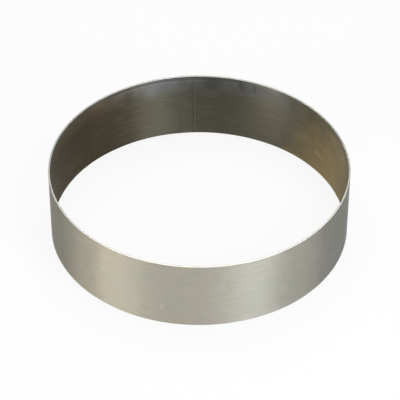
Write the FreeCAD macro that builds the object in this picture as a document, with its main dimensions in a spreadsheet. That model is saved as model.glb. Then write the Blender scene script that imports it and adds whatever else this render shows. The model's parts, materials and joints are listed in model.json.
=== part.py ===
"""Round pastry ring: one strip of stainless sheet, rolled to a circle and butt-welded at the back.

Lengths are in millimetres and angles in degrees. The ring stands on its lower rim. Z is up, and the
origin is the centre of the circle that the lower rim stands on. Y points to the back of the ring.
"""
import FreeCAD, Part
import math
import os

import Sketcher

# Driving dimensions: name, value, what it measures
SIZES = (
    ("outer_diameter", 280.0, "outside of the rolled wall"),
    ("band_height", 70.0, "from the lower rim to the upper rim, the width of the strip"),
    ("wall_thickness", 1.6, "16 gauge sheet"),
    ("rim_bevel", 0.3, "bevel that deburring leaves on the four rim edges"),
    ("seam_angle", 92.0, "place of the weld, anticlockwise from X seen from above"),
    ("bead_width", 2.0, "weld bead on the inside of the wall, measured across it"),
    ("bead_rise", 0.15, "how far the dressed bead stands in from the wall"),
    ("bead_setback", 1.0, "height at each rim where the bead is ground flush"),
)

# A bevel takes at most this share of the wall, so that each rim keeps a flat face to stand on
LARGEST_BEVEL = 0.45

# Heights nearer than this count as equal when the rim edges are looked up
SAME_PLACE = 1e-4

# How a sketch numbers the points of a line or an arc, and its own axes
START, END, MIDDLE = range(1, 4)
X_AXIS = -1
ORIGIN = (X_AXIS, START)


def make_sheet(doc):
    """The table of driving dimensions, each with its own alias."""
    sheet = doc.addObject("Spreadsheet::Sheet", "Sizes")
    for row, (name, value, meaning) in enumerate(SIZES, start=1):
        sheet.set(f"A{row}", name)
        sheet.set(f"B{row}", str(value))
        sheet.set(f"C{row}", meaning)
        sheet.setAlias(f"B{row}", name)
    doc.recompute()
    return sheet


def origin_plane(body, role):
    """One of the body's own origin planes, found by its role."""
    return next(plane for plane in body.Origin.OriginFeatures if plane.Role == role)


def sketch_on(body, name, role):
    """An empty sketch on one of the body's origin planes."""
    sketch = body.newObject("Sketcher::SketchObject", name)
    sketch.AttachmentSupport = (origin_plane(body, role), [""])
    sketch.MapMode = "FlatFace"
    return sketch


def drive(sketch, constraint, name, expression):
    """Adds a named dimension to a sketch and ties it to the sheet."""
    index = sketch.addConstraint(constraint)
    sketch.renameConstraint(index, name)
    sketch.setExpression(f"Constraints.{name}", expression)


def rolled_wall(body, sheet):
    """The strip's section, a tall thin rectangle, turned once round Z."""
    radius = sheet.outer_diameter / 2
    inner = radius - sheet.wall_thickness
    corners = [(inner, 0), (radius, 0), (radius, sheet.band_height), (inner, sheet.band_height)]
    points = [FreeCAD.Vector(x, z, 0) for x, z in corners]

    section = sketch_on(body, "wall_section", "XZ_Plane")
    foot, outside, top, inside = (
        section.addGeometry(Part.LineSegment(start, end))
        for start, end in zip(points, points[1:] + points[:1])
    )
    for first, second in ((foot, outside), (outside, top), (top, inside), (inside, foot)):
        section.addConstraint(Sketcher.Constraint("Coincident", first, END, second, START))
    for line in (foot, top):
        section.addConstraint(Sketcher.Constraint("Horizontal", line))
    for line in (outside, inside):
        section.addConstraint(Sketcher.Constraint("Vertical", line))
    section.addConstraint(Sketcher.Constraint("PointOnObject", foot, START, X_AXIS))

    drive(section, Sketcher.Constraint("DistanceX", *ORIGIN, foot, END, radius),
          "outer_radius", "Sizes.outer_diameter / 2")
    drive(section, Sketcher.Constraint("DistanceX", foot, START, foot, END, radius - inner),
          "wall", "Sizes.wall_thickness")
    drive(section, Sketcher.Constraint("DistanceY", outside, START, outside, END, sheet.band_height),
          "height", "Sizes.band_height")

    wall = body.newObject("PartDesign::Revolution", "rolled_wall")
    wall.Profile = section
    wall.ReferenceAxis = (section, ["V_Axis"])
    wall.Angle = 360.0
    return wall


def weld_bead(body, sheet):
    """The dressed bead inside the butt weld: a low crown that runs from rim to rim.

    Its section is drawn on the X axis, crown towards the centre and root inside the wall. The
    whole sketch is then turned to the seam.
    """
    inner = sheet.outer_diameter / 2 - sheet.wall_thickness
    half = sheet.bead_width / 2
    toe = math.sqrt(inner ** 2 - half ** 2)
    crest = inner - sheet.bead_rise
    root = inner + sheet.wall_thickness / 2
    half_turn = 2 * math.atan2(toe - crest, half)
    crown_radius = half / math.sin(half_turn)
    upwards = FreeCAD.Vector(0, 0, 1)
    crown_circle = Part.Circle(FreeCAD.Vector(crest + crown_radius, 0, 0), upwards, crown_radius)
    left, root_left, root_right, right = (
        FreeCAD.Vector(x, y, 0)
        for x, y in ((toe, half), (root, half), (root, -half), (toe, -half))
    )

    section = sketch_on(body, "bead_section", "XY_Plane")
    crown = section.addGeometry(
        Part.ArcOfCircle(crown_circle, math.pi - half_turn, math.pi + half_turn))
    right_side = section.addGeometry(Part.LineSegment(right, root_right))
    back = section.addGeometry(Part.LineSegment(root_right, root_left))
    left_side = section.addGeometry(Part.LineSegment(root_left, left))
    wall_line = section.addGeometry(Part.Circle(FreeCAD.Vector(0, 0, 0), upwards, inner), True)
    crest_point = section.addGeometry(Part.Point(FreeCAD.Vector(crest, 0, 0)), True)

    for first, second in ((crown, right_side), (right_side, back), (back, left_side), (left_side, crown)):
        section.addConstraint(Sketcher.Constraint("Coincident", first, END, second, START))
    section.addConstraint(Sketcher.Constraint("Coincident", wall_line, MIDDLE, *ORIGIN))
    section.addConstraint(Sketcher.Constraint("Horizontal", left_side))
    section.addConstraint(Sketcher.Constraint("Horizontal", right_side))
    section.addConstraint(Sketcher.Constraint("Vertical", back))
    section.addConstraint(Sketcher.Constraint("PointOnObject", crown, MIDDLE, X_AXIS))
    section.addConstraint(Sketcher.Constraint("Symmetric", crown, START, crown, END, X_AXIS))
    section.addConstraint(Sketcher.Constraint("PointOnObject", crown, START, wall_line))
    section.addConstraint(Sketcher.Constraint("PointOnObject", crest_point, START, X_AXIS))
    section.addConstraint(Sketcher.Constraint("PointOnObject", crest_point, START, crown))

    drive(section, Sketcher.Constraint("Radius", wall_line, inner),
          "inner_radius", "Sizes.outer_diameter / 2 - Sizes.wall_thickness")
    drive(section, Sketcher.Constraint("DistanceY", back, START, back, END, sheet.bead_width),
          "width", "Sizes.bead_width")
    drive(section, Sketcher.Constraint("DistanceX", *ORIGIN, crest_point, START, crest),
          "crest", "Sizes.outer_diameter / 2 - Sizes.wall_thickness - Sizes.bead_rise")
    drive(section, Sketcher.Constraint("DistanceX", *ORIGIN, back, START, root),
          "root", "Sizes.outer_diameter / 2 - Sizes.wall_thickness / 2")

    section.setExpression(".AttachmentOffset.Rotation.Axis.x", "0")
    section.setExpression(".AttachmentOffset.Rotation.Axis.y", "0")
    section.setExpression(".AttachmentOffset.Rotation.Axis.z", "1")
    section.setExpression(".AttachmentOffset.Rotation.Angle", "Sizes.seam_angle")
    section.setExpression(".AttachmentOffset.Base.z", "Sizes.bead_setback")

    bead = body.newObject("PartDesign::Pad", "weld_bead")
    bead.Profile = section
    bead.setExpression("Length", "Sizes.band_height - 2 * Sizes.bead_setback")
    return bead


def deburred_rims(body, sheet, base):
    """A small bevel on the inner and outer edge of both rims, with the flat rim face between."""
    rims = (0.0, sheet.band_height)
    names = []
    for number, edge in enumerate(base.Shape.Edges, start=1):
        box = edge.BoundBox
        is_level = box.ZLength < SAME_PLACE
        is_rim = min(abs(box.ZMin - rim) for rim in rims) < SAME_PLACE
        if is_level and is_rim:
            names.append(f"Edge{number}")
    bevel = body.newObject("PartDesign::Chamfer", "deburred_rims")
    bevel.Base = (base, names)
    bevel.setExpression(
        "Size", f"min(Sizes.rim_bevel; {LARGEST_BEVEL} * Sizes.wall_thickness)")
    return bevel


def check(doc, bodies):
    """Stops before anything is written if a feature failed or a shape is unsound."""
    for item in doc.Objects:
        failed = {"Invalid", "Error"} & set(item.State)
        if failed:
            raise RuntimeError(f"{item.Name} is {', '.join(sorted(failed))}")
    for body in bodies:
        if body.Shape.isNull() or not body.Shape.isValid() or len(body.Shape.Solids) != 1:
            raise RuntimeError(f"{body.Label} is not one sound solid")


def main():
    doc = FreeCAD.newDocument("pastry_ring")
    sheet = make_sheet(doc)

    band = doc.addObject("PartDesign::Body", "ring_band")
    band.Label = "ring_band"
    wall = rolled_wall(band, sheet)
    doc.recompute()
    wall_volume = wall.Shape.Volume
    bead = weld_bead(band, sheet)
    doc.recompute()
    bead_volume = bead.Shape.Volume - wall_volume
    rims = deburred_rims(band, sheet, bead)
    band.Tip = rims
    doc.recompute()

    check(doc, [band])
    if bead_volume <= 0:
        raise RuntimeError("the weld bead adds nothing to the wall")
    print(f"wall {wall_volume:.1f} mm3, bead {bead_volume:.2f} mm3, ring {band.Shape.Volume:.1f} mm3")

    os.makedirs("parts", exist_ok=True)
    band.Shape.exportStep(os.path.join("parts", band.Label + ".step"))


main()
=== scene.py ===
# %% [markdown]
# # A pastry ring of brushed stainless steel
#
# The real ring is one strip of stainless sheet. It is rolled to a circle, its two ends are
# butt-welded, and all its edges are deburred. It has no bottom: it stands on a tray, and a cake is
# built or baked inside it. This lesson loads the ring's measured frame, models the wall as one
# fine closed mesh, and gives it the three finishes of a used ring: brushed outside, bare on the
# rims and browned inside. The finishes also hold painted light: painted shade inside and on the
# outside's flanks, painted highlights inside and towards the front of the rims, and painted light
# on the right, inside and out.

# %% Load the frame
import json
import math

import bpy
import numpy as np
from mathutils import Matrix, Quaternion, Vector


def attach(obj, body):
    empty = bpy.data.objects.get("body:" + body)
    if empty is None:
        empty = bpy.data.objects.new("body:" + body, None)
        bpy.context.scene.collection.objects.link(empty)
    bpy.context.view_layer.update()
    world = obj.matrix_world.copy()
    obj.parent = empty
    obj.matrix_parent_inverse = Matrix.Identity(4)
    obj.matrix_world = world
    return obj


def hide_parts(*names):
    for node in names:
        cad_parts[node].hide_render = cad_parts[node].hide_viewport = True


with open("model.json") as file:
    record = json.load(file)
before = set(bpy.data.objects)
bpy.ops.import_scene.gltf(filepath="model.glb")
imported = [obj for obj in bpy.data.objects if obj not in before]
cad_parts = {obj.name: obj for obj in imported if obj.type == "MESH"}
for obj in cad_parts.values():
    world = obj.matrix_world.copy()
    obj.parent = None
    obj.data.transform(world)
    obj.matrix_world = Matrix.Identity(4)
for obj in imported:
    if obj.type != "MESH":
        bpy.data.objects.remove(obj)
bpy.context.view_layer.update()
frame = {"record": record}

# %% [markdown]
# ## The sizes that everything follows
#
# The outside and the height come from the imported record, and the inside from its bore. They could
# be typed in again, but then the mesh would stay behind when the frame changes. The bevels and the
# weld are too small to be read from a box, so they are repeated here. All lengths are in metres, as
# Blender counts them. The ring stands on Z = 0 with its front towards -Y, and a direction is the
# angle from X in degrees, anticlockwise seen from above: 0 is right, 90 back, 180 left, 270 front.

# %% Read the sizes
MM = 0.001
record = frame["record"]
bore = next(mount for mount in record["mounts"] if mount["name"] == "inside_wall")
OUTER_RADIUS = record["size"]["bbox_m"][0] / 2
INNER_RADIUS = bore["dims"]["r_mm"] * MM
HEIGHT = record["size"]["bbox_m"][2]
RIM_BEVEL = 0.3 * MM
SEAM_DIRECTION = 92
BEAD_WIDTH = 2.0 * MM
BEAD_RISE = 0.15 * MM
BEAD_SETBACK = 1.0 * MM
print(f"outside radius {OUTER_RADIUS:.4f}, inside {INNER_RADIUS:.4f}, height {HEIGHT:.4f}")

# %% [markdown]
# ## The columns of the mesh
#
# The wall is a grid: columns round the ring, and rows round the section of the sheet. A
# Blender cylinder has the same columns all round, but a weld bead 2 mm wide would fall between
# them. So the columns are laid out close together at the weld and half a degree apart
# elsewhere. The first column lies on the weld, where the two ends of the real strip meet.

# %% Choose the columns
COLUMNS_ROUND = 720
FULL_TURN = 2 * math.pi
SEAM_REACH = 1.6 * BEAD_WIDTH
SEAM_STEP = 0.2 * MM

seam_columns = np.arange(-SEAM_REACH, SEAM_REACH + SEAM_STEP / 2, SEAM_STEP) / INNER_RADIUS
even_columns = np.arange(COLUMNS_ROUND) * FULL_TURN / COLUMNS_ROUND
reach = SEAM_REACH / INNER_RADIUS
clear_of_seam = (even_columns > reach) & (even_columns < FULL_TURN - reach)
from_seam = np.concatenate([
    seam_columns[seam_columns >= 0],
    even_columns[clear_of_seam],
    seam_columns[seam_columns < 0] + FULL_TURN,
])
columns = math.radians(SEAM_DIRECTION) + from_seam
print(len(columns), "columns,", len(seam_columns), "of them at the weld")

# %% [markdown]
# ## The rows of the mesh
#
# A section through the sheet is a tall thin rectangle, with its corners taken off by a file. It
# could be a bevel modifier, but a corner is easy to draw as a quarter circle, and then each row
# knows what it belongs to. The flat of the rim and its worn corners are bright bare metal. Only
# the corner inside the foot is as brown as the wall above it. A row close to each corner keeps
# the smooth shading of the corner from spreading up the wall.

# %% Choose the rows
WALL_ROWS = 16
CORNER_STEPS = 4
SUPPORT = 0.4 * MM
OUTSIDE, RIM, INSIDE = 0, 1, 2


def corner(radius, height, start_degrees):
    """A quarter circle of the section, as (radius, height) pairs without its first point."""
    turns = np.radians(start_degrees + np.linspace(0, 90, CORNER_STEPS + 1)[1:])
    return [(radius + RIM_BEVEL * math.cos(a), height + RIM_BEVEL * math.sin(a)) for a in turns]


low_corner, high_corner = RIM_BEVEL, HEIGHT - RIM_BEVEL
between = np.linspace(low_corner + SUPPORT, high_corner - SUPPORT, WALL_ROWS)
upwards = [*between, high_corner]
downwards = [*reversed(between), low_corner]
near_outside, near_inside = OUTER_RADIUS - RIM_BEVEL, INNER_RADIUS + RIM_BEVEL
stretches = (
    (OUTSIDE, [(OUTER_RADIUS, z) for z in upwards]),
    (RIM, corner(near_outside, high_corner, 0)),
    (RIM, [(near_inside, HEIGHT)]),
    (RIM, corner(near_inside, high_corner, 90)),
    (INSIDE, [(INNER_RADIUS, z) for z in downwards]),
    (INSIDE, corner(near_inside, low_corner, 180)),
    (RIM, [(near_outside, 0.0)]),
    (RIM, corner(near_outside, low_corner, 270)),
)
section = [(kind, radius, height) for kind, points in stretches for radius, height in points]
print(len(section), "rows round the section")

# %% [markdown]
# ## How the rolled wall departs from a true circle
#
# Three rolls bend the sheet, and they never bend it quite evenly. The wall wanders by about a
# tenth of a millimetre, which nobody can see as a shape, but steel shows it: a reflection slides
# where the wall bows. A displacement modifier could do it with a noise, but a few waves added
# together are simpler. Each fits a whole number of times round the ring, so that it meets itself.
# The ends of the strip leave the rolls a little straighter than the rest, so the wall also dips
# inwards on each side of the weld.

# %% Waves of the wall
# times round the ring, size, phase, lean with height
WAVES = (
    (3, 0.08 * MM, 0.4, 0.2),
    (7, 0.05 * MM, 2.1, -0.6),
    (13, 0.03 * MM, 1.0, 1.1),
    (23, 0.018 * MM, 4.4, -1.7),
    (37, 0.010 * MM, 0.3, 2.6),
)
END_DIP = 0.08 * MM
END_DISTANCE = 11 * MM
END_REACH = 5 * MM


def wander(height):
    """How far the wall stands out at each column, at that height."""
    share = height / HEIGHT
    return sum(size * np.sin(times * columns + phase + lean * share)
               for times, size, phase, lean in WAVES)


to_weld = np.minimum(from_seam, FULL_TURN - from_seam) * INNER_RADIUS
dip = END_DIP * np.exp(-((to_weld - END_DISTANCE) / END_REACH) ** 2)
print(f"the wall wanders by {np.abs(wander(HEIGHT) - dip).max() / MM:.2f} mm at most")

# %% [markdown]
# ## The weld bead
#
# The two ends of the strip meet edge to edge and are melted together. Outside, the weld is
# ground flush, so that it shows only in its finish. Inside, a file or a flap wheel leaves a low
# smooth crown, and takes it down to nothing at the rims, where the ring has to stand flat. The bead
# could be a strip of its own laid on the wall, but then the metal would have a crack under it. So
# the wall's own points are lifted, and a parabola across the bead gives the crown.

# %% Dress the bead
def bead(height):
    """How far the dressed bead stands in from the wall at each column, at that height."""
    across = np.clip(1 - (to_weld / (BEAD_WIDTH / 2)) ** 2, 0, 1)
    to_rim = min(height, HEIGHT - height)
    along = min(max(to_rim / BEAD_SETBACK - 1, 0), 1)
    return BEAD_RISE * across * along


print(f"bead {bead(HEIGHT / 2).max() / MM:.2f} mm high and {BEAD_WIDTH / MM:.0f} mm wide")

# %% [markdown]
# ## One closed mesh
#
# Rows and columns meet in one grid that closes both ways: round the ring, and round the section
# of the sheet. A Screw modifier could turn the section round Z too, but its steps are all alike,
# and it would know nothing of the waves or the bead. Placed one by one, every point has its own
# radius, and the mesh is watertight, as the real sheet is.

# %% Place the points
rows = []
for kind, radius, height in section:
    radii = radius + wander(height) - dip
    if kind == INSIDE:
        radii = radii - bead(height)
    rows.append(np.stack([radii * np.cos(columns), radii * np.sin(columns),
                          np.full_like(columns, height)], axis=1))
points = np.concatenate(rows)
print(len(points), "points")

# %% [markdown]
# ## Faces and their finish
#
# Each face joins two rows and two columns. Its corners run so that its normal points out of the
# metal. The three finishes could be three objects, but real steel changes its finish without a
# gap. So each face has the finish of the row that it leads to, and the faces are made row by row,
# which is the order that the flat pattern needs later on.

# %% Join the points
across_count, up_count = len(columns), len(section)
faces, finishes = [], []
for row in range(up_count):
    above = (row + 1) % up_count
    finish = section[above][0]
    for column in range(across_count):
        beside = (column + 1) % across_count
        faces.append((row * across_count + column, row * across_count + beside,
                      above * across_count + beside, above * across_count + column))
        finishes.append(finish)
mesh = bpy.data.meshes.new("ring_wall")
mesh.from_pydata(points.tolist(), [], faces)
mesh.polygons.foreach_set("material_index", finishes)
mesh.polygons.foreach_set("use_smooth", [True] * len(faces))
ring = bpy.data.objects.new("ring_wall", mesh)
bpy.context.scene.collection.objects.link(ring)
print(len(mesh.polygons), "faces,", "sound" if not mesh.validate() else "mended")

# %% [markdown]
# ## The flat pattern
#
# Before it was rolled, the ring was a flat strip, and cutting the mesh at the weld lays it flat
# again. This is the map through which the finishes can be baked.
# Blender could unwrap the mesh by angle, but that cuts the wall into many islands. The true
# pattern keeps it whole: the strip's length fills the map one way, and the way round the section
# fills it the other way, where the brush marks are finest. The few columns at the weld get extra
# room, so that the bead isn't lost between two pixels.

# %% Lay the wall out flat
SEAM_SHARE = 0.015


def along_strip(turn):
    """Place on the map, from 0 to 1, of an angle from the weld."""
    knots = [0, reach, FULL_TURN - reach, FULL_TURN]
    return np.interp(turn, knots, [0, SEAM_SHARE, 1 - SEAM_SHARE, 1])


outline = np.array([(radius, height) for _, radius, height in section + section[:1]])
lengths = np.linalg.norm(np.diff(outline, axis=0), axis=1)
round_section = np.concatenate([[0], np.cumsum(lengths)]) / lengths.sum()
strip = along_strip(np.append(from_seam, FULL_TURN))
pattern = [
    (strip[column + right], round_section[row + up])
    for row in range(up_count)
    for column in range(across_count)
    for right, up in ((0, 0), (1, 0), (1, 1), (0, 1))
]
flat_map = mesh.uv_layers.new(name="OFBake")
flat_map.uv.foreach_set("vector", np.array(pattern).ravel())
print(f"section {lengths.sum() / MM:.1f} mm round, laid out over the whole map")

# %% [markdown]
# ## Stand the mesh in for the measured solid
#
# The frame's own ring is faceted and can't be changed, and a finish alone wouldn't round its
# corners. So the fine mesh replaces it, at the same place and size, and rides on the part's only
# body.

# %% Join the frame
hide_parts("ring_band")
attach(ring, "root")
print("ring_wall stands for ring_band")

# %% [markdown]
# ## Writing a finish as a formula
#
# A material is a graph of nodes, and a long one is hard to read. A few nodes at a time read well
# as arithmetic. So a Wire holds one output socket, and adding or multiplying wires adds the
# Math nodes. The reflected forms let a plain number stand first, as in 1 - mask.

# %% A wire that can be added up
class Wire:
    """An output socket that can be added to, taken away from and multiplied."""

    def __init__(self, graph, socket):
        self.graph = graph
        self.socket = socket

    def maths(self, operation, first, second):
        return self.graph.node("ShaderNodeMath", {"operation": operation}, {0: first, 1: second})

    def __add__(self, other):
        return self.maths("ADD", self, other)

    def __radd__(self, other):
        return self.maths("ADD", other, self)

    def __sub__(self, other):
        return self.maths("SUBTRACT", self, other)

    def __rsub__(self, other):
        return self.maths("SUBTRACT", other, self)

    def __mul__(self, other):
        return self.maths("MULTIPLY", self, other)

    def __rmul__(self, other):
        return self.maths("MULTIPLY", other, self)


print("wires add, subtract and multiply")

# %% [markdown]
# ## Every other node
#
# Nodes could be added and linked one by one, in four or five lines each. Here every node is made
# by one method. It takes the node's type, its settings and what goes into its sockets, which is a
# number, a colour or a wire. The settings come first, because some of them decide which sockets
# the node has.

# %% A graph of nodes
class Graph:
    """The node tree of a material or of the world."""

    def __init__(self, owner):
        owner.use_nodes = True
        self.tree = owner.node_tree
        self.tree.nodes.clear()

    def node(self, kind, settings=None, inputs=None, output=0):
        """Adds a node, makes its settings, fills its sockets and returns one of its outputs."""
        made = self.tree.nodes.new(kind)
        for name, value in (settings or {}).items():
            setattr(made, name, value)
        for key, value in (inputs or {}).items():
            socket = self.find(made.inputs, key)
            if isinstance(value, Wire):
                self.tree.links.new(value.socket, socket)
            else:
                socket.default_value = value
        return Wire(self, self.find(made.outputs, output)) if made.outputs else None

    @staticmethod
    def find(sockets, key):
        """A socket by its number, its identifier or its name."""
        if isinstance(key, int):
            return sockets[key]
        return next((s for s in sockets if s.identifier == key), None) or sockets[key]


print("graphs are ready")

# %% [markdown]
# ## Where a point lies on the ring
#
# Wear has a place: near a rim, by the weld, on one side. An image could hold it, but a formula on
# the point's own coordinates is sharp at any size. The direction of a point from the axis is
# compared with a chosen one. That has no jump anywhere round the ring, as an angle would have. The
# result is a cosine: 1 in that direction, 0.87 at 30 degrees from it, 0.5 at 60 and 0 at 90.

# %% Place and direction
class Place:
    """Where a shaded point lies: its position, its height and its direction from the axis."""

    def __init__(self, graph):
        self.graph = graph
        self.at = graph.node("ShaderNodeTexCoord", output="Object")
        self.x, self.y, self.height = (
            graph.node("ShaderNodeSeparateXYZ", inputs={0: self.at}, output=axis)
            for axis in range(3)
        )

    def toward(self, degrees):
        """1 where the wall lies in that direction, 0 a quarter turn away, -1 opposite."""
        angle = math.radians(degrees)
        across, away = math.cos(angle) / OUTER_RADIUS, math.sin(angle) / OUTER_RADIUS
        return across * self.x + away * self.y

    def beyond(self, degrees):
        """How far the wall lies past a radius in that direction, in metres, anticlockwise."""
        angle = math.radians(degrees)
        return math.cos(angle) * self.y - math.sin(angle) * self.x


print("places are read from the ring's own coordinates")

# %% [markdown]
# ## Steps, colours and spots
#
# These small helpers are shared by the finishes. A step turns a number into a mask with soft
# edges, as wear has. A tint mixes two colours, and a shade makes one darker or lighter. A spot is a
# soft oval at one place of the wall, for a stain or a rubbed patch. Such a patch could be painted
# on an image too, but a spot keeps its place and size in numbers.

# %% Masks and colours
def step(graph, value, low, high):
    """A smooth step from 0 at low to 1 at high, or the other way round if low is above high."""
    return graph.node("ShaderNodeMapRange", {"interpolation_type": "SMOOTHSTEP"},
                      {"Value": value, "From Min": low, "From Max": high})


def tint(graph, mask, first, second):
    """The first colour where the mask is 0, and the second where it is 1."""
    return graph.node("ShaderNodeMix", {"data_type": "RGBA"},
                      {"Factor_Float": mask, "A_Color": first, "B_Color": second},
                      "Result_Color")


def shade(graph, colour, amount):
    """A colour made darker or lighter by a number."""
    grey = graph.node("ShaderNodeCombineColor", inputs={0: amount, 1: amount, 2: amount})
    return graph.node("ShaderNodeMix", {"data_type": "RGBA", "blend_type": "MULTIPLY"},
                      {"Factor_Float": 1.0, "A_Color": colour, "B_Color": grey},
                      "Result_Color")


def spot(place, radius, degrees, height, reach_round, reach_up):
    """1 at a place on the wall, fading to 0 at its reach round the wall and up it."""
    angle = math.radians(degrees)
    middle = (radius * math.cos(angle), radius * math.sin(angle), height)
    scale = (1 / reach_round, 1 / reach_round, 1 / reach_up)
    away = place.graph.node("ShaderNodeVectorMath", {"operation": "SUBTRACT"},
                            {0: place.at, 1: middle})
    scaled = place.graph.node("ShaderNodeVectorMath", {"operation": "MULTIPLY"},
                              {0: away, 1: scale})
    distance = place.graph.node("ShaderNodeVectorMath", {"operation": "LENGTH"}, {0: scaled},
                                "Value")
    return step(place.graph, distance, 1.0, 0.0)


print("masks, colours and spots are ready")

# %% [markdown]
# ## Brush marks that run round the ring
#
# The strip was brushed along its length before it was rolled, so each mark is a few centimetres
# long round the ring and a fraction of a millimetre wide up the wall. A noise that is squeezed in
# height and stretched the other way draws such marks. It is read at the point's own place in
# space, and not at an angle, so it meets itself without a join. Scratches from use are the same
# noise, cut off so high that only a few thin streaks of it are left.

# %% Brush marks and scratches
STREAK_EDGE = 0.06
FINE_SHARE = 0.6    # how strong each finer layer of the noise is beside the one before it


def marks(place, length, width, detail=2.0):
    """Noise from 0 to 1 in marks of that length round the ring and that width up the wall."""
    stretched = place.graph.node("ShaderNodeVectorMath", {"operation": "MULTIPLY"},
                                 {0: place.at, 1: (1 / length, 1 / length, 1 / width)})
    return place.graph.node("ShaderNodeTexNoise", inputs={
        "Vector": stretched, "Scale": 1.0, "Detail": detail, "Roughness": FINE_SHARE},
        output="Fac")


def scratches(place, length, width, start):
    """1 in the few streaks where the noise is well above start, and 0 elsewhere."""
    return step(place.graph, marks(place, length, width, detail=0.0), start, start + STREAK_EDGE)


print("brush marks and scratches are ready")

# %% [markdown]
# ## Lines parallel to the rim
#
# Turning the ring in the rolls and handling it later leave long thin lines that follow the rim at
# a fixed height. They could be grooves in the mesh, but they are far thinner than its rows, so they
# are masks. Each line has a direction, how far it reaches round, a height and a thickness. It is
# broken up by a slow noise, because a drawn line of even strength looks false.

# %% Long lines
FULL_SHARE = 0.6    # the share of a line's reach over which it has its full strength


def rim_lines(place, lines):
    """The sum of long lines: (direction, half its reach in degrees, height, thickness, strength)."""
    wear = marks(place, length=9 * MM, width=9 * MM)
    total = 0.0
    for degrees, half_reach, height, thickness, strength in lines:
        ends = math.cos(math.radians(half_reach))
        inner_ends = math.cos(math.radians(half_reach * FULL_SHARE))
        near = step(place.graph, place.toward(degrees), ends, inner_ends)
        apart = place.graph.node("ShaderNodeMath", {"operation": "ABSOLUTE"},
                                 {0: place.height - height})
        line = step(place.graph, apart, thickness, 0.0)
        total = total + strength * near * line
    return total * step(place.graph, wear, 0.30, 0.55)


print("long lines are ready")

# %% [markdown]
# ## Brushed metal
#
# Brushing makes the surface rough across its marks and smooth along them, so every highlight is
# drawn out into an upright band. Bump alone could do it, with marks as fine as the real ones, but
# from a distance they would turn into speckle. The Principled shader's anisotropy does it without
# them. Its own tangent runs round the Z axis, along the marks, and a quarter turn sets the stretch
# across them. The strength of the grain is the same all over a finish, so it is set on the shader
# itself. The relief holds what is left: the depth of single marks, and a slow swell of the sheet.

# %% The shader of all three finishes
ACROSS_THE_MARKS = 0.25
SATIN_GRAIN = 0.95
BRUSH_DEPTH = 0.006    # in millimetres, as every relief below


def steel(graph, colour, roughness, normal, grain):
    """Bare metal with that colour, roughness and normal, and a grain from 0 to 1."""
    shader = graph.node("ShaderNodeBsdfPrincipled", inputs={
        "Base Color": colour, "Metallic": 1.0, "Roughness": roughness, "Normal": normal,
        "Anisotropic": grain, "Anisotropic Rotation": ACROSS_THE_MARKS})
    graph.node("ShaderNodeOutputMaterial", inputs={"Surface": shader})


def relief(graph, height):
    """A normal that follows a height in millimetres."""
    return graph.node("ShaderNodeBump", inputs={
        "Strength": 1.0, "Distance": MM, "Height": height}, output="Normal")


print("grain is set across the brush marks")

# %% [markdown]
# ## The outside wall
#
# The outside is the clean face: a satin grey with a little warmth, cooler to the right, which is
# partly the steel's own tint and partly painted cool light. Its brush marks are hardly seen one by
# one, but together they draw out each reflection. Washing and stacking leave a soft mottling, a
# thin greenish film in patches, a few thin pale scratches and short dark dashes, and one short pale
# scuff at the front. The left and the right are a little darker, which is painted shade. At the
# back, the ground-flush weld shows as a narrow band with a slightly smoother, lighter finish. All of
# this could be painted on an image. As a sum of noises and masks it has no resolution, and each kind
# of wear, and the painted shade, can be changed by itself. In each sum, the first number is the
# clean steel, and the others say how much each kind of wear, and the painted shade, adds or takes.

# %% Outside finish
OUTSIDE_WARM = (0.462, 0.427, 0.347, 1)
OUTSIDE_COOL = (0.448, 0.427, 0.374, 1)
OUTSIDE_SLATE = (0.422, 0.422, 0.402, 1)
OUTSIDE_GREEN = (0.425, 0.430, 0.352, 1)
SCUFF_STEEL = (0.60, 0.60, 0.52, 1)
COOL_SIDE, SLATE_SIDE = -40, -5
GROUND_BAND = 4 * MM
OUTSIDE_SWELL = 1.0


def outside_colour(place):
    """The warm grey of the outside wall, cooler to the right partly as painted cool light, with
    faint uneven greenish patches.
    """
    graph = place.graph
    cloud = marks(place, length=45 * MM, width=26 * MM)
    film_and_painted_shade = marks(place, length=17 * MM, width=19 * MM)
    # the cooler right and the slate far right are partly the steel's tint and partly painted cool
    # light
    cool = step(graph, place.toward(COOL_SIDE) + 0.6 * (cloud - 0.5), -0.1, 1.0)
    slate = step(graph, place.toward(SLATE_SIDE), 0.75, 1.0)
    clean = tint(graph, cool, OUTSIDE_WARM, OUTSIDE_COOL)
    clean = tint(graph, slate, clean, OUTSIDE_SLATE)
    filmed = tint(graph, 0.6 * step(graph, film_and_painted_shade, 0.40, 0.65), clean, OUTSIDE_GREEN)
    scuff = spot(place, OUTER_RADIUS, degrees=256.2, height=18.9 * MM,
                 reach_round=2.4 * MM, reach_up=6 * MM)
    return tint(graph, 0.45 * scuff, filmed, SCUFF_STEEL)


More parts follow.
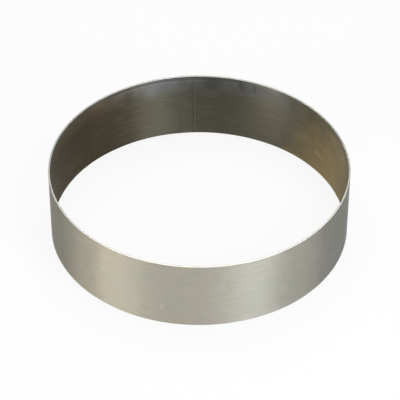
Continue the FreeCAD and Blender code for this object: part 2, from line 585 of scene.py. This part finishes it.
def outside_finish():
    """Satin steel with brush marks, light wear, painted shade on its flanks and the ground-flush
    weld.
    """
    material = bpy.data.materials.new("outside_brushed")
    graph = Graph(material)
    place = Place(graph)
    fine = marks(place, length=16 * MM, width=0.35 * MM)
    broad = marks(place, length=24 * MM, width=2.2 * MM)
    cloud = marks(place, length=30 * MM, width=22 * MM)
    thin = scratches(place, length=20 * MM, width=0.45 * MM, start=0.68)
    dashes = scratches(place, length=8 * MM, width=0.9 * MM, start=0.70)
    by_weld = step(graph, place.toward(SEAM_DIRECTION), 0.99, 0.999)
    apart = graph.node("ShaderNodeMath", {"operation": "ABSOLUTE"},
                       {0: place.beyond(SEAM_DIRECTION)})
    ground = by_weld * step(graph, apart, GROUND_BAND, 0.3 * GROUND_BAND)
    # painted shade: the left and right flanks of the outside are made darker
    sideways = place.toward(0)
    painted_flank_shade = step(graph, sideways * sideways, 0.70, 0.98)
    tone = (0.80 + 0.14 * fine + 0.18 * broad + 0.14 * cloud + 0.10 * thin - 0.08 * dashes
            + 0.06 * ground - 0.14 * painted_flank_shade)
    colour = shade(graph, outside_colour(place), tone)
    roughness = 0.45 + 0.06 * fine + 0.06 * broad + 0.08 * cloud - 0.06 * thin - 0.08 * ground
    surface = BRUSH_DEPTH * (fine + broad - thin) + OUTSIDE_SWELL * cloud
    steel(graph, colour, roughness, relief(graph, surface), SATIN_GRAIN)
    return material


mesh.materials.append(outside_finish())
print("outside finish", len(mesh.materials[OUTSIDE].node_tree.nodes), "nodes")

# %% [markdown]
# ## The rims
#
# The rims were sheared and then deburred, so they are bare, bright and brushed along their
# length. They are a little brighter towards the front, which is a painted highlight. They are
# narrow, and a light above and behind shows them as a thin pale line all the way round, which is
# what makes a ring of this kind look crisp. A line drawn on the edge could fake that, but only from
# one side.
# Here the rim is a real flat with rounded corners, so the finish can be simple.

# %% Rim finish
RIM_STEEL = (0.74, 0.72, 0.66, 1)
RIM_GRAIN = 0.4
FRONT = 270


def rim_finish():
    """Bare bright steel, a little brighter towards the front as a painted highlight."""
    material = bpy.data.materials.new("rim_deburred")
    graph = Graph(material)
    place = Place(graph)
    along = marks(place, length=6 * MM, width=6 * MM)
    # painted highlight: the rims are made brighter towards the front
    painted_front_highlight = step(graph, place.toward(FRONT), -0.4, 0.4)
    colour = shade(graph, RIM_STEEL, 0.66 + 0.2 * along + 0.15 * painted_front_highlight)
    steel(graph, colour, 0.3 + 0.1 * along, relief(graph, BRUSH_DEPTH * along), RIM_GRAIN)
    return material


mesh.materials.append(rim_finish())
print("rim finish", len(mesh.materials[RIM].node_tree.nodes), "nodes")

# %% [markdown]
# ## The colours of the inside wall
# Baking browns the inside of a ring: fat and sugar leave a thin film that darkens the steel and
# takes away its blue. Most of the inside's darkness, far below the outside's, is painted shade.
# The film is brown on the left, olive low at the back and ochre on the right, and it is almost
# rubbed off near the upper rim, where fingers hold the ring. The ochre on the right is much lighter
# than the rest, partly as the film's colour and partly as painted light. Low at the right end the
# ochre gives way to umber. One colour ramp by height could give a film, but not one that differs
# from side to side. So seven colours are mixed in pairs, by direction and by height, and a slow
# noise moves the edges between them.

# %% Inside colours
# the dark colours are partly the film and mostly painted shade; OCHRE and PALE are partly painted
# light
INSIDE_GREY = (0.165, 0.165, 0.158, 1)
INSIDE_OLIVE = (0.168, 0.156, 0.114, 1)
INSIDE_BROWN = (0.194, 0.156, 0.095, 1)
INSIDE_UMBER = (0.184, 0.164, 0.105, 1)
INSIDE_OCHRE = (0.458, 0.350, 0.175, 1)
INSIDE_PALE = (0.500, 0.415, 0.255, 1)
INSIDE_WORN = (0.192, 0.174, 0.128, 1)
OLIVE_SIDE, OCHRE_SIDE = 86, 2
OCHRE_LEVEL = 40 * MM    # below this height the ochre reaches further round


def inside_colour(place, cloud):
    """The browned colour of the inside wall, darkened as painted shade and lightened on the right as
    painted light, with a slow noise that moves its edges.
    """
    graph = place.graph
    low = step(graph, place.height + 12 * MM * cloud, 70 * MM, 48 * MM)
    back = step(graph, place.toward(OLIVE_SIDE) + 0.2 * (cloud - 0.5), 0.61, 0.96)
    lower = 2.5 * (OCHRE_LEVEL - place.height)
    low_end = spot(place, INNER_RADIUS, degrees=OCHRE_SIDE, height=14 * MM,
                   reach_round=60 * MM, reach_up=50 * MM)
    right = step(graph, place.toward(OCHRE_SIDE) + 0.2 * (cloud - 0.5) + lower, 0.66, 0.99)
    right = right * (1 - 0.75 * low_end)
    flank = step(graph, place.toward(0), -0.3, 0.3)
    by_rim = step(graph, place.height + 5 * MM * cloud, 63 * MM, 70 * MM)
    left = tint(graph, by_rim, INSIDE_BROWN, INSIDE_WORN)
    sides = tint(graph, flank, left, INSIDE_UMBER)
    behind = tint(graph, low, INSIDE_GREY, INSIDE_OLIVE)
    browned = tint(graph, back, sides, behind)
    # painted light, partly the film's ochre: the right of the inside is much lighter
    ochre_and_painted_light = tint(graph, low, INSIDE_PALE, INSIDE_OCHRE)
    return tint(graph, right, browned, ochre_and_painted_light)


print("the inside has seven colours")

# %% [markdown]
# ## The inside wall
#
# The inside has the same brush marks as the outside, more scratches, and long lines below the rim,
# with a dull band above them at the back. The left is brighter below the rim and much darker lower
# down, partly where the film is thick and partly as painted shade. The weld bead was filed after the
# sheet was brushed, so it is rougher than the wall beside it, and a little paler. What is left are
# single places: painted highlights near 60 and 105 degrees, painted shade beside them, and other
# patches that are lighter and smoother or darker and duller. More noise could stand for them, but
# noise falls where it likes, so they are a short list of spots.

# %% Inside finish
DULL_SIDE, FILM_SIDE = 100, 150
WELD_CORE, WELD_EDGE = 0.6 * MM, 3.0 * MM
INSIDE_SWELL = 0.5
# direction and half its reach in degrees, height, thickness, strength
RIM_LINES = (
    (106, 26, 65.0 * MM, 0.80 * MM, 1.1),
    (97, 17, 63.0 * MM, 0.60 * MM, 0.5),
    (118, 20, 61.4 * MM, 0.60 * MM, 0.4),
    (65, 9, 55.6 * MM, 0.70 * MM, 0.8),
    (68, 7, 53.6 * MM, 0.60 * MM, 0.5),
)
# the spots at 59 to 61 and 100 to 110 degrees are painted highlights, and the darker ones at 67 to
# 93 and 120 degrees are painted shade beside them
# strength, direction, height, reach round the wall and up it; below 0 it darkens
SPOTS = (
    (0.19, 110, 56 * MM, 13 * MM, 14 * MM),
    (0.10, 100, 58 * MM, 12 * MM, 13 * MM),
    (0.06, 61, 50 * MM, 15 * MM, 13 * MM),
    (0.24, 59, 68 * MM, 12 * MM, 6 * MM),
    (0.35, 154.8, 67 * MM, 1.3 * MM, 8 * MM),
    (0.30, 158.5, 66 * MM, 1.1 * MM, 7 * MM),
    (-0.24, 85, 62 * MM, 15 * MM, 13 * MM),
    (-0.15, 72, 61 * MM, 7 * MM, 8 * MM),
    (-0.17, 120, 58 * MM, 10 * MM, 15 * MM),
    (-0.08, 130, 65 * MM, 14 * MM, 8 * MM),
    (-0.10, 92.5, 59 * MM, 6 * MM, 10 * MM),
    (-0.12, 73, 65 * MM, 4 * MM, 9 * MM),
    (-0.18, 67, 63 * MM, 4 * MM, 8 * MM),
    (-0.09, 49, 60 * MM, 10 * MM, 22 * MM),
    (-0.24, -2, 55 * MM, 30 * MM, 40 * MM),
)


def inside_finish():
    """Browned steel, much of its darkness painted shade, with brush marks, scratches, long lines,
    the bead and single spots, some of them painted highlights and some painted shade.
    """
    material = bpy.data.materials.new("inside_used_and_painted_light")
    graph = Graph(material)
    place = Place(graph)
    fine = marks(place, length=18 * MM, width=0.35 * MM)
    broad = marks(place, length=24 * MM, width=1.8 * MM)
    cloud = marks(place, length=26 * MM, width=18 * MM, detail=3.0)
    thin = scratches(place, length=22 * MM, width=0.5 * MM, start=0.66)
    lines = rim_lines(place, RIM_LINES)
    under_rim = step(graph, place.height, 65.0 * MM, 66.5 * MM)
    dull = under_rim * step(graph, place.toward(DULL_SIDE), 0.80, 0.92)
    left = step(graph, place.toward(FILM_SIDE), 0.55, 0.95)
    # painted shade, partly a thicker film: the left of the inside is darker low down
    film_and_painted_shade = left * step(graph, place.height, 69 * MM, 46 * MM)
    rubbed_and_painted_highlights, stains_and_painted_shade = 0.0, 0.0
    # lighter patches and painted highlights add up, and so do stains and painted shade
    for strength, degrees, height, reach_round, reach_up in SPOTS:
        mark = spot(place, INNER_RADIUS, degrees, height, reach_round, reach_up)
        if strength > 0:
            rubbed_and_painted_highlights = rubbed_and_painted_highlights + strength * mark
        else:
            stains_and_painted_shade = stains_and_painted_shade - strength * mark
    to_seam = place.beyond(SEAM_DIRECTION)
    on_bead = step(graph, to_seam * to_seam, WELD_EDGE ** 2, WELD_CORE ** 2)
    weld = on_bead * step(graph, place.toward(SEAM_DIRECTION), 0.9, 0.99)
    tone = (0.70 + 0.14 * fine + 0.16 * broad + 0.30 * cloud + 0.18 * thin + 0.55 * lines
            - 0.14 * dull + 0.08 * left - 0.47 * film_and_painted_shade + 0.05 * weld + rubbed_and_painted_highlights - stains_and_painted_shade)
    colour = shade(graph, inside_colour(place, cloud), tone)
    roughness = (0.42 + 0.06 * fine + 0.06 * broad + 0.12 * cloud - 0.06 * thin
                 + 0.04 * dull - 0.3 * rubbed_and_painted_highlights + 0.4 * stains_and_painted_shade + 0.34 * weld)
    surface = BRUSH_DEPTH * (fine + broad - thin) + INSIDE_SWELL * cloud
    steel(graph, colour, roughness, relief(graph, surface), SATIN_GRAIN)
    return material


mesh.materials.append(inside_finish())
print("inside finish", len(mesh.materials[INSIDE].node_tree.nodes), "nodes")

# %% [markdown]
# ## The floor
#
# The ring stands on a wide white sheet, which is also the background. A white sheet in plain light
# renders a little under white, and more light would bleach the steel. So the sheet gives part of
# its white by itself, to the camera and to what mirrors it, and the rest is lit like any paper and
# keeps the ring's soft shadow. The Light Path node tells which rays are which.

# %% Floor
FLOOR_SIZE = 16.0
FLOOR_WHITE = (0.92, 0.92, 0.92, 1)
BACKDROP_SHARE = 0.88


def floor_finish():
    """White paper that gives part of its white by itself and keeps shadows."""
    material = bpy.data.materials.new("floor_white")
    graph = Graph(material)
    paper = graph.node("ShaderNodeBsdfDiffuse", inputs={"Color": FLOOR_WHITE})
    glow = graph.node("ShaderNodeEmission", inputs={"Color": (1, 1, 1, 1), "Strength": 1.0})
    seen = graph.node("ShaderNodeLightPath", output="Is Camera Ray")
    mirrored = graph.node("ShaderNodeLightPath", output="Is Glossy Ray")
    through = graph.node("ShaderNodeLightPath", output="Is Transmission Ray")
    share = BACKDROP_SHARE * (seen + mirrored + through)
    both = graph.node("ShaderNodeMixShader", inputs={0: share, 1: paper, 2: glow})
    graph.node("ShaderNodeOutputMaterial", inputs={"Surface": both})
    return material


half = FLOOR_SIZE / 2
floor_sheet = bpy.data.meshes.new("floor")
floor_sheet.from_pydata([(-half, -half, 0), (half, -half, 0), (half, half, 0), (-half, half, 0)],
                        [], [(0, 1, 2, 3)])
floor_sheet.materials.append(floor_finish())
floor = bpy.data.objects.new("floor", floor_sheet)
bpy.context.scene.collection.objects.link(floor)
print(f"floor {FLOOR_SIZE:.0f} m square")

# %% [markdown]
# ## The light of the room
#
# The room is dim and even. It could be a picture of a real room, but its windows would show in the
# steel. An even grey fills what no lamp reaches, and steel needs it, because where steel has
# nothing to mirror it is black.

# %% World
WORLD_LEVEL = 0.16

world = bpy.data.worlds.new("studio")
bpy.context.scene.world = world
room = Graph(world)
sky = room.node("ShaderNodeBackground", inputs={
    "Color": (1, 1, 1, 1), "Strength": WORLD_LEVEL})
room.node("ShaderNodeOutputWorld", inputs={"Surface": sky})
print("room light", WORLD_LEVEL)

# %% [markdown]
# ## Soft boxes and reflectors
#
# Steel shows its lights, so they are placed by what the wall should mirror. A wall that faces
# halfway between the camera and a lamp shows that lamp as a bright upright band. A soft box on
# the left and one on the right give the two bands. Low reflectors beside and before the ring
# fill the wall between them, and stand so low that the inside remains dark. A large soft box
# above and behind lights the floor and the rims. Point lamps would be simpler, but steel would show
# each as a hard streak. The number for a lamp's strength is how bright its face looks, and Blender
# wants its power, which is that times its area and pi.

# %% Lamps
SOFTBOXES = (
    # name, azimuth and elevation in degrees, distance, width, height, brightness, colour
    ("softbox_left", 216, 16, 1.3, 0.66, 0.60, 3.0, (1.0, 0.985, 0.96)),
    ("reflector_left", 200, 8, 1.3, 0.95, 0.30, 3.0, (1.0, 0.97, 0.90)),
    ("softbox_right", 308.5, 40, 1.3, 0.46, 0.90, 5.8, (0.94, 0.98, 1.04)),
    ("reflector_right", 332, 8, 1.3, 0.95, 0.30, 2.9, (0.95, 0.98, 1.03)),
    ("reflector_front", 260, 3, 1.3, 1.75, 0.12, 11.5, (1.0, 0.99, 0.96)),
    ("softbox_above", 90, 68, 1.5, 1.30, 1.30, 2.6, (1.0, 1.0, 1.0)),
)


def add_softbox(name, azimuth, elevation, distance, width, height, brightness, colour):
    """A rectangular lamp at that distance from the ring, turned towards it."""
    lamp = bpy.data.lights.new(name, "AREA")
    lamp.shape = "RECTANGLE"
    lamp.size = width
    lamp.size_y = height
    lamp.color = colour
    lamp.energy = brightness * math.pi * width * height
    around, above = math.radians(azimuth), math.radians(elevation)
    direction = Vector((math.cos(around) * math.cos(above),
                        math.sin(around) * math.cos(above), math.sin(above)))
    holder = bpy.data.objects.new(name, lamp)
    holder.location = Vector((0, 0, HEIGHT / 2)) + direction * distance
    holder.rotation_euler = (-direction).to_track_quat("-Z", "Y").to_euler()
    holder.visible_camera = False
    bpy.context.scene.collection.objects.link(holder)


for softbox in SOFTBOXES:
    add_softbox(*softbox)
print(len(SOFTBOXES), "lamps")

# %% [markdown]
# ## The camera
#
# The camera looks down on the ring from the front, at about forty degrees, from almost seven times
# its width away. A long lens keeps the ellipses of the two rims nearly alike. The picture is 400
# pixels square, so a lens is given in pixels first and then in millimetres of its sensor. The
# ring's middle isn't quite the picture's middle, so the camera aims a few pixels off it.

# %% Camera
SENSOR = 36.0
PICTURE = 400
FOCAL_PIXELS = 2028.5
ELEVATION = math.radians(40.15)
DISTANCE = 13.6 * OUTER_RADIUS
AIM_RIGHT, AIM_DOWN = 0.81, 5.25
ROLL = math.radians(-0.10)

lens = bpy.data.cameras.new("camera")
lens.sensor_width = SENSOR
lens.lens = FOCAL_PIXELS / PICTURE * SENSOR
camera = bpy.data.objects.new("camera", lens)
backwards = Vector((0, -math.cos(ELEVATION), math.sin(ELEVATION)))
right = Vector((1, 0, 0))
up = backwards.cross(right)
middle = Vector((0, 0, HEIGHT / 2))
metres_per_pixel = DISTANCE / FOCAL_PIXELS
aim = middle + (right * AIM_RIGHT - up * AIM_DOWN) * metres_per_pixel
camera.location = middle + backwards * DISTANCE
look = aim - camera.location
camera.rotation_mode = "QUATERNION"
level = look.to_track_quat("-Z", "Y")
camera.rotation_quaternion = Quaternion(look.normalized(), ROLL) @ level
bpy.context.scene.collection.objects.link(camera)
bpy.context.scene.camera = camera
bpy.context.scene.view_settings.view_transform = "Standard"
print(f"lens {lens.lens:.1f} mm at {DISTANCE:.3f} m")
